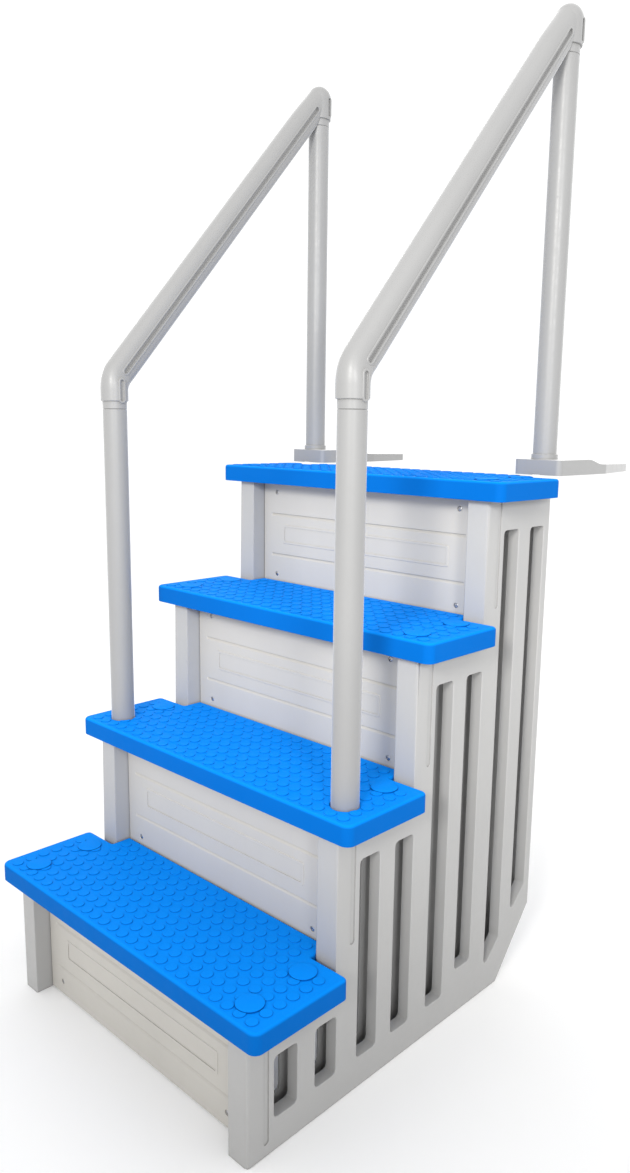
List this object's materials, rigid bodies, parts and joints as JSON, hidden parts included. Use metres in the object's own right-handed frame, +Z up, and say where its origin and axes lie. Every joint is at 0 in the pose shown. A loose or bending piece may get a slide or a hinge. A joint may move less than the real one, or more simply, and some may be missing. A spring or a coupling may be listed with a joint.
{
  "type": "pool ladder",
  "caption": "Moulded stair ladder for an above-ground pool: slotted side panels, non-slip treads, sloping handrails, and deck flanges that slide and swivel on their posts.",
  "frame": {"origin": "on the floor, in the middle of the object's width and depth", "axes": "+X along the treads, +Y the way a person climbs towards the deck, +Z up"},
  "size_m": [0.813, 1.214, 2.0194],
  "materials": {
    "body_plastic": "off-white moulded resin, satin",
    "tread_plastic": "bright blue moulded resin, satin, with raised dots",
    "rail_plastic": "white resin tube, semi-gloss",
    "screw_steel": "stainless steel"
  },
  "bodies": {
    "ladder": {"side_panel_left": "body_plastic", "side_panel_right": "body_plastic", "tread_1": "tread_plastic", "tread_2": "tread_plastic", "tread_3": "tread_plastic", "tread_4": "tread_plastic", "tread_1_bolt_front_left": "tread_plastic", "tread_1_bolt_front_right": "tread_plastic", "tread_1_bolt_rear_left": "tread_plastic", "tread_1_bolt_rear_right": "tread_plastic", "tread_2_bolt_rear_left": "tread_plastic", "tread_2_bolt_rear_right": "tread_plastic", "tread_3_bolt_front_left": "tread_plastic", "tread_3_bolt_front_right": "tread_plastic", "tread_3_bolt_rear_left": "tread_plastic", "tread_3_bolt_rear_right": "tread_plastic", "tread_4_bolt_front_left": "tread_plastic", "tread_4_bolt_front_right": "tread_plastic", "tread_4_bolt_rear_left": "tread_plastic", "tread_4_bolt_rear_right": "tread_plastic", "riser_panel_1": "body_plastic", "riser_panel_2": "body_plastic", "riser_panel_3": "body_plastic", "riser_panel_4": "body_plastic", "riser_1_screw_low_left": "screw_steel", "riser_1_screw_low_right": "screw_steel", "riser_1_screw_high_left": "screw_steel", "riser_1_screw_high_right": "screw_steel", "riser_2_screw_low_left": "screw_steel", "riser_2_screw_low_right": "screw_steel", "riser_2_screw_high_left": "screw_steel", "riser_2_screw_high_right": "screw_steel", "riser_3_screw_low_left": "screw_steel", "riser_3_screw_low_right": "screw_steel", "riser_3_screw_high_left": "screw_steel", "riser_3_screw_high_right": "screw_steel", "riser_4_screw_low_left": "screw_steel", "riser_4_screw_low_right": "screw_steel", "riser_4_screw_high_left": "screw_steel", "riser_4_screw_high_right": "screw_steel", "front_post_left": "rail_plastic", "front_post_right": "rail_plastic", "post_bolt_left": "screw_steel", "post_bolt_right": "screw_steel", "top_rail_left": "rail_plastic", "top_rail_right": "rail_plastic", "rear_post_left": "rail_plastic", "rear_post_right": "rail_plastic", "rail_screw_low_left": "screw_steel", "rail_screw_low_right": "screw_steel", "rail_screw_high_left": "screw_steel", "rail_screw_high_right": "screw_steel"},
    "collar_left": {"flange_collar_left": "rail_plastic", "collar_screw_left": "screw_steel"},
    "flange_left": {"deck_flange_left": "body_plastic"},
    "collar_right": {"flange_collar_right": "rail_plastic", "collar_screw_right": "screw_steel"},
    "flange_right": {"deck_flange_right": "body_plastic"}
  },
  "joints": [
    {"name": "collar_left_slide", "type": "slide", "parent": "ladder", "child": "collar_left", "axis": [0, 0, 1], "range_m": [0, 0.26]},
    {"name": "flange_left_swivel", "type": "hinge", "parent": "collar_left", "child": "flange_left", "pos_m": [-0.34, 0.267, 1.1125], "axis": [0, 0, 1], "range_deg": [-45, 45]},
    {"name": "collar_right_slide", "type": "slide", "parent": "ladder", "child": "collar_right", "axis": [0, 0, 1], "range_m": [0, 0.26]},
    {"name": "flange_right_swivel", "type": "hinge", "parent": "collar_right", "child": "flange_right", "pos_m": [0.34, 0.267, 1.1125], "axis": [0, 0, 1], "range_deg": [-45, 45]}
  ]
}
